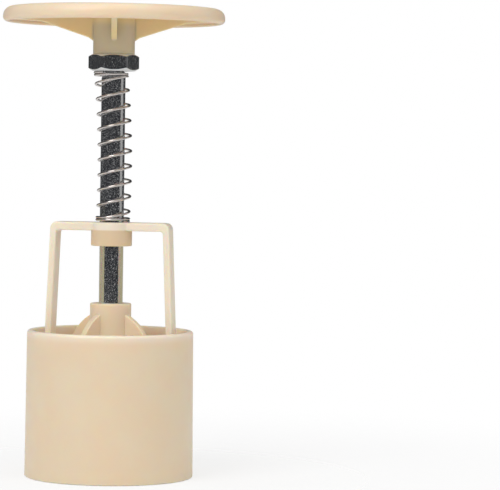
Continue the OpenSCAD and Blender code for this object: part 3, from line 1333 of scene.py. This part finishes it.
@dataclass
class Stamp(Piece):
    """Petal stamp: spoon-shaped hollows between rounded ridges, round a blind eye.

    The two sink marks of its face lie opposite the pegs. Its fade is where the hollows begin,
    counted from the wall round the eye.
    """

    petals: Petals = field(default_factory=Petals)
    height: float = 9.0
    gap: float = 0.3
    rim: float = 2.3
    ridge_t: float = 0.6
    eye_r: float = 5.15
    eye_wall: float = 0.85
    eye_depth: float = 3.0
    eye_round: float = 0.5
    eye_rim_round: float = 0.25
    lift: float = 0.35
    softness: float = 0.1
    fade: Limits = (-0.2, 1.6)
    scoop_rows: int = 64
    edge_round: float = 0.35
    edge_w: float = 1.0
    mark_r: float = 0.4
    mark_depth: float = 0.12
    pockets: int = 4
    back_depth: float = 2.0
    back_r: float = 20.2
    back_edge: float = 0.4
    back_chords: tuple[int, int] = (23, 13)
    core_r: float = 8.0
    spoke_w: float = 6.0
    peg_at: float = 16.2
    peg_r: float = 2.0
    peg_l: float = 2.8
    peg_round: float = 0.45

    @property
    def eye_out(self) -> float:
        """Outer radius of the wall round the eye."""
        return self.eye_r + self.eye_wall

    def hollow(self, radius: np.ndarray) -> np.ndarray:
        """Depth of the face below its rim.

        A petal's hollow is turned about the petal's own line: a cone between the two ridges,
        then a ball about the petal's centre. Its depth is sqrt(a^2 - y^2) - lift, with the
        body's radius a at this place along the line and the distance y from the line. A soft
        maximum with 0 rounds the ridges, and the hollow fades out at the wall round the eye.

        Args:
            radius: Distance from the axis, as (rows, columns).

        Returns:
            Depth at each point.
        """
        petals, angle = self.petals, self.petals.local()
        along, across = radius * np.cos(angle), radius * np.sin(angle)
        tip = self.ridge_t / 2 / math.sin(petals.half)
        ball = petals.petal_r - self.gap - self.rim
        cone = (along - tip) * math.tan(petals.half)
        round_end = np.sqrt(np.clip(ball**2 - (along - petals.petal_at) ** 2, 0, None))
        joined = petals.petal_at - ball * math.sin(petals.half)
        body = np.where(along < joined, cone, np.minimum(round_end, cone))
        depth = np.sqrt(np.clip(body**2 - across**2, 0, None)) - self.lift
        first, last = (self.eye_out + step for step in self.fade)
        return soft_positive(depth * smooth_step(along, first, last), self.softness)

    def build(self) -> bpy.types.Object:
        """Face, wall and back on one polar grid, then the back's pockets and the pegs."""
        petals, angles = self.petals, self.petals.angles()
        outer = petals.reach(petals.petal_r - self.gap)
        ball = math.sqrt((petals.petal_r - self.gap - self.rim) ** 2 - self.lift**2)
        inner = petals.reach(ball)
        # Added to a row's one value, it spreads that over every column
        even = np.zeros_like(outer)
        eye = rounded(
            [
                (0, -self.eye_depth, 0),
                (self.eye_r, -self.eye_depth, self.eye_round),
                (self.eye_r, 0, self.eye_rim_round),
                (self.eye_out, 0, 0),
            ],
            closed=False,
        )
        share = np.sin(np.linspace(0, math.pi / 2, self.scoop_rows + 1)[1:])[:, None]
        scoop_r = self.eye_out + (inner - self.eye_out) * share
        scoop_z = -self.hollow(scoop_r)
        edge = rounded(
            [
                (-self.edge_w, 0, 0),
                (0, 0, self.edge_round),
                (0, -self.height, self.edge_round),
                (-self.edge_w, -self.height, 0),
            ],
            closed=False,
        )
        back = np.array([[self.back_r - self.edge_w], [self.core_r], [0.0]])
        back_z = np.full_like(back, -self.height)
        radius = np.concatenate([eye[:, :1] + even, scoop_r, outer + edge[:, :1], back + even])
        lift = np.concatenate([eye[:, 1:2] + even, scoop_z, edge[:, 1:2] + even, back_z + even])
        lift = lift - self.marks(radius, lift)
        face = self.extent.bottom
        grid = np.stack([radius * np.cos(angles), -radius * np.sin(angles), face - lift], axis=-1)
        made = grid_solid(self.name, grid)
        combine(made, [self.pocket(k) for k in range(self.pockets)], Cut.REMOVE)
        combine(made, [self.peg(i, side) for i, side in enumerate((1, -1))], Cut.JOIN)
        smooth(made)
        return made

    def marks(self, radius: np.ndarray, lift: np.ndarray) -> np.ndarray:
        """Depth of the two small sink marks, on the ridges opposite the pegs.

        Args:
            radius: Distance from the axis.
            lift: Height of each point over the face.

        Returns:
            A bell curve about each mark, on the face alone.
        """
        angles = self.petals.angles()
        x, y = np.abs(radius * np.cos(angles)), radius * np.sin(angles)
        away = ((x - self.peg_at) ** 2 + y**2) / self.mark_r**2
        return np.where(lift > -self.height / 2, self.mark_depth * np.exp(-away), 0.0)

    def pocket(self, number: int) -> bpy.types.Object:
        """One of the pockets of the back, between two spokes.

        Args:
            number: Which quarter it lies in.

        Returns:
            The solid to remove.
        """
        half = self.spoke_w / 2
        low, high = (math.asin(half / r) for r in (self.back_r, self.core_r))
        out_chords, core_chords = self.back_chords
        out = np.linspace(low, math.pi / 2 - low, out_chords + 1)
        core = np.linspace(math.pi / 2 - high, high, core_chords + 1)
        outline = np.concatenate(
            [
                self.back_r * np.column_stack([np.cos(out), np.sin(out)]),
                self.core_r * np.column_stack([np.cos(core), np.sin(core)]),
            ]
        )
        grid = slab(outline, 2 * self.back_depth, self.back_edge)
        grid[..., 2] += self.extent.bottom + self.height
        turn = number * math.pi / 2
        x, y = grid[..., 0].copy(), grid[..., 1].copy()
        grid[..., 0] = x * math.cos(turn) - y * math.sin(turn)
        grid[..., 1] = x * math.sin(turn) + y * math.cos(turn)
        return grid_solid(f"pocket_{number}", grid, capped=True)

    def peg(self, number: int, side: int) -> bpy.types.Object:
        """One of the two pegs that hold the stamp in the plate.

        Args:
            number: Which peg.
            side: 1 or -1, its side of the axis.

        Returns:
            The peg.
        """
        back = self.extent.bottom + self.height
        corners = [
            (0, back - SEAT, 0),
            (self.peg_r, back - SEAT, 0),
            (self.peg_r, back + self.peg_l, self.peg_round),
            (0, back + self.peg_l, 0),
        ]
        grid = turned(rounded(corners, closed=False), full_circle(48))
        grid[..., 0] += side * self.peg_at
        return grid_solid(f"peg_{number}", grid)


# ---------- studio ----------


@dataclass(frozen=True)
class Lamp:
    """A square soft lamp, placed by its direction from the press.

    Its direction is in degrees, its distance and size in metres, and its power in watts.
    """

    name: str
    azimuth: float
    elevation: float
    distance: float
    size: float
    power: float
    in_gloss: bool = True

    def hang(self, centre: Vector) -> None:
        """Adds the lamp, aimed at a point.

        Args:
            centre: The point, in metres.
        """
        a, e = math.radians(self.azimuth), math.radians(self.elevation)
        away = Vector((math.sin(a) * math.cos(e), -math.cos(a) * math.cos(e), math.sin(e)))
        data = bpy.data.lights.new(self.name, "AREA")
        data.energy = self.power
        data.size = self.size
        lamp = bpy.data.objects.new(self.name, data)
        lamp.location = centre + away * self.distance
        lamp.rotation_euler = (-away).to_track_quat("-Z", "Y").to_euler()
        lamp.visible_glossy = self.in_gloss
        bpy.context.scene.collection.objects.link(lamp)


@dataclass(frozen=True)
class Card:
    """Upright bent card that only reflections show, as round a product table.

    Its ends are in degrees from the camera's direction, its heights and radius in millimetres.
    """

    name: str
    first: float
    last: float
    low: float
    high: float
    colour: Colour = (0.045, 0.046, 0.05)
    radius: float = 600.0
    columns: int = 40

    def stand(self, azimuth: float) -> None:
        """Adds the card, an arc about the axis.

        Args:
            azimuth: The camera's direction in degrees, which the arc's ends count from.
        """
        angles = np.radians(np.linspace(self.first, self.last, self.columns) + azimuth)
        edge = self.radius * np.column_stack([np.sin(angles), -np.cos(angles)])
        count = self.columns
        rows = [np.column_stack([edge, np.full(count, z)]) for z in (self.low, self.high)]
        index = np.arange(count - 1)
        faces = np.column_stack([index, index + 1, index + 1 + count, index + count]).tolist()
        card = link_mesh(self.name, np.concatenate(rows), faces)
        material, graph, _ = surface_graph(self.name)
        inputs = {"Color": (*self.colour, 1), "Strength": 1.0}
        graph.show(graph.node("ShaderNodeEmission", {}, inputs))
        card.data.materials.append(material)
        card.visible_camera = card.visible_diffuse = card.visible_shadow = False
        card.visible_transmission = card.visible_volume_scatter = False


@dataclass(frozen=True)
class Studio:
    """Camera, lamps, floor and backdrop.

    Distances are in millimetres. The floor is clear to the camera by floor_clear at the press,
    and fades to fully clear over the distances of floor_fade.
    """

    azimuth: float = 12.0
    distance: float = 898.0
    height: float = 111.0
    aim_right: float = 46.45
    aim_z: float = 78.15
    roll: float = 0.85
    focal_px: float = 2680.0
    frame_px: float = 500.0
    sensor_w: float = 36.0
    view_limit: float = 20000.0
    floor_z: float = -0.05
    floor_hole: float = 27.0
    floor_reach: float = 3000.0
    floor_colour: Colour = (0.9, 0.9, 0.9)
    floor_clear: float = 0.7
    floor_fade: Limits = (45.0, 260.0)
    ambient: float = 0.46
    lamps_aim_z: float = 80.0
    lamps: tuple[Lamp, ...] = (
        Lamp("key", -24, 40, 0.9, 0.5, 3.0),
        Lamp("fill", 60, 26, 0.9, 0.6, 1.0, False),
        Lamp("top", 10, 80, 0.8, 0.5, 1.3),
        Lamp("low", 0, 8, 0.9, 0.5, 0.75, False),
        Lamp("back_left", -128, 30, 0.9, 0.6, 0.7, False),
        Lamp("back_right", 128, 30, 0.9, 0.6, 0.9, False),
    )
    cards: tuple[Card, ...] = (
        Card("upper_dark", -180, 78, 67, 420),
        Card("upper_right_pale", 78, 110, 67, 420, (0.5, 0.49, 0.48)),
        Card("upper_right_dark", 110, 180, 67, 420),
        Card("high_left_dark", -180, -60, 420, 1000, (0.12, 0.12, 0.125)),
        Card("high_right_dark", 60, 180, 420, 1000, (0.12, 0.12, 0.125)),
        Card("lower_dark", -70, 74, -150, 67),
        Card("lower_left_tan", -150, -70, -150, 67, (0.57, 0.51, 0.31)),
        Card("lower_right_tan", 74, 150, -150, 67, (0.57, 0.51, 0.31)),
    )

    def build(self) -> None:
        """Sets up the whole studio."""
        self.camera()
        self.world()
        self.floor()
        for card in self.cards:
            card.stand(self.azimuth)
        for lamp in self.lamps:
            lamp.hang(Vector((0, 0, self.lamps_aim_z * MM)))
        bpy.context.scene.view_settings.view_transform = "Standard"

    def camera(self) -> None:
        """Places the camera where the photograph was taken from."""
        a, roll = math.radians(self.azimuth), math.radians(self.roll)
        place = Vector((self.distance * math.sin(a), -self.distance * math.cos(a), self.height))
        aim = Vector((self.aim_right * math.cos(a), self.aim_right * math.sin(a), self.aim_z))
        forward = (aim - place).normalized()
        right = forward.cross(Vector((0, 0, 1))).normalized()
        up = right.cross(forward)
        right, up = (
            right * math.cos(roll) + up * math.sin(roll),
            up * math.cos(roll) - right * math.sin(roll),
        )
        data = bpy.data.cameras.new("camera")
        data.sensor_width = self.sensor_w
        data.lens = self.focal_px / self.frame_px * self.sensor_w
        data.clip_end = self.view_limit * MM
        camera = bpy.data.objects.new("camera", data)
        turn = Matrix((right, up, -forward)).transposed()
        camera.matrix_world = Matrix.Translation(place * MM) @ turn.to_4x4()
        bpy.context.scene.collection.objects.link(camera)
        bpy.context.scene.camera = camera

    def world(self) -> None:
        """White where it is seen, and a plain soft light elsewhere."""
        world = bpy.data.worlds.new("studio")
        bpy.context.scene.world = world
        world.use_nodes = True
        graph = Graph(world.node_tree)
        ray = graph.node("ShaderNodeLightPath")
        seen = Value(graph, ray.outputs["Is Camera Ray"]) + Value(graph, ray.outputs["Is Glossy Ray"])
        seen = seen + Value(graph, ray.outputs["Is Transmission Ray"])
        strength = self.ambient + seen.above(0, 1) * (1 - self.ambient)
        light = graph.node(
            "ShaderNodeBackground", {}, {"Color": (1, 1, 1, 1), "Strength": strength}
        )
        graph.node("ShaderNodeOutputWorld", {}, {"Surface": light.outputs[0]})

    def floor(self) -> None:
        """Pale floor, thin enough to the camera that the white behind it shows.

        It is open under the chamber and lets everything through from below, so that the mouth
        is lit and seen from there.
        """
        edges = [[self.floor_hole, self.floor_z, 0.0], [self.floor_reach, self.floor_z, 0.0]]
        floor = grid_solid("floor", turned(np.array(edges), full_circle()))
        if floor.data.polygons[0].normal.z < 0:
            floor.data.flip_normals()
        material, graph, place = surface_graph("floor")
        x, y = (part * (1 / MM) for part in graph.split(place)[:2])
        far = ((x * x + y * y) ** 0.5).above(*self.floor_fade)
        camera = Value(graph, graph.node("ShaderNodeLightPath").outputs["Is Camera Ray"])
        below = Value(graph, graph.node("ShaderNodeNewGeometry").outputs["Backfacing"])
        clearness = self.floor_clear + far * (1 - self.floor_clear)
        opaque = (1 - camera * clearness) * (1 - below)
        paint = graph.node("ShaderNodeBsdfDiffuse", {}, {"Color": (*self.floor_colour, 1)})
        clear = graph.node("ShaderNodeBsdfTransparent")
        mixed = graph.node(
            "ShaderNodeMixShader",
            {},
            {0: opaque, 1: clear.outputs[0], 2: paint.outputs[0]},
        )
        graph.show(mixed)
        floor.data.materials.append(material)


def parts() -> list[Piece]:
    """Lists the pieces of the press in building order.

    Returns:
        One object of its class for each piece.
    """
    zinc = PlatedMetal(
        "zinc",
        colour=(0.57, 0.59, 0.60),
        stain=(0.34, 0.35, 0.37),
        roughness=0.1,
        spread=0.1,
        speck=0.35,
        pits_per_mm=3.1,
        cut_faces_and_highlight=0.5,
    )
    chrome = PlatedMetal(
        "chrome",
        colour=(0.62, 0.63, 0.64),
        stain=(0.42, 0.42, 0.44),
        roughness=0.05,
        spread=0.06,
        speck=0.5,
        pits_per_mm=3.3,
    )
    wire = PlatedMetal(
        "wire",
        colour=(0.68, 0.64, 0.62),
        stain=(0.42, 0.38, 0.36),
        roughness=0.13,
        spread=0.08,
        pits_per_mm=2.0,
    )
    # Painted light: the barrel is painted paler from 45.6 mm up to its top, as if lit from above
    barrel = MouldedPlastic("barrel_cream", light_and_shade_zones=(LightAndShadeZone((0.82, 0.74, 0.62), height=(45.6, 48.9)),))
    frame = MouldedPlastic(
        "frame_cream",
        colour=(0.83, 0.755, 0.63),
        warm=(0.83, 0.745, 0.61),
        # Painted shade: the guide boss under the bar is painted a deeper tan, as if in the bar's shadow
        light_and_shade_zones=(LightAndShadeZone((0.725, 0.57, 0.385), height=(82.85, 82.35), radius=(7.6, 7.0)),),
    )
    handle = MouldedPlastic(
        "handle_cream",
        light_and_shade_zones=(
            # Painted light: the hollow under the disc is painted orange-tan, as if lit through the disc's
            # thin top
            LightAndShadeZone((0.78, 0.63, 0.36), height=(155.0, 154.4), radius=(34.5, 15.0)),
            # Painted shade: the boss under the disc is painted darker, as if shaded by the disc
            LightAndShadeZone((0.60, 0.515, 0.37), height=(153.0, 150.0), radius=(7.8, 7.1)),
        ),
    )
    plate = MouldedPlastic("plate_cream", colour=(0.80, 0.68, 0.51), warm=(0.80, 0.665, 0.49))
    stamp = MouldedPlastic("stamp_cream")
    return [
        Barrel("barrel", "fluted_barrel", Body.PRESS, Slot.BARREL, barrel),
        ArchFrame("arch_frame", "arch_and_guide", Body.PRESS, Slot.FRAME, frame),
        Spring("spring", "return_spring", Body.PRESS, Slot.SPRING, wire),
        Rod("rod", "threaded_rod", Body.PLUNGER, Slot.ROD, chrome),
        HexNut("lock_nut", "hex_lock_nut", Body.PLUNGER, Slot.ZINC, zinc, turn=12.0),
        Handle("handle", "palm_disc", Body.PLUNGER, Slot.HANDLE, handle),
        PressPlate("press_plate", "hub_and_plate", Body.PLUNGER, Slot.PLATE, plate),
        Washer("plate_washer", "flat_washer", Body.PLUNGER, Slot.ZINC, zinc),
        HexNut("plate_nut", "hex_plate_nut", Body.PLUNGER, Slot.ZINC, zinc),
        Stamp("stamp", "petal_stamp", Body.STAMP, Slot.STAMP, stamp),
    ]


def main() -> None:
    """Loads the frame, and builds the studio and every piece."""
    logging.basicConfig(level=logging.INFO, format="%(name)s: %(message)s", stream=sys.stdout)
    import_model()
    Studio().build()
    for piece in parts():
        piece.install()


if __name__ == "__main__":
    main()
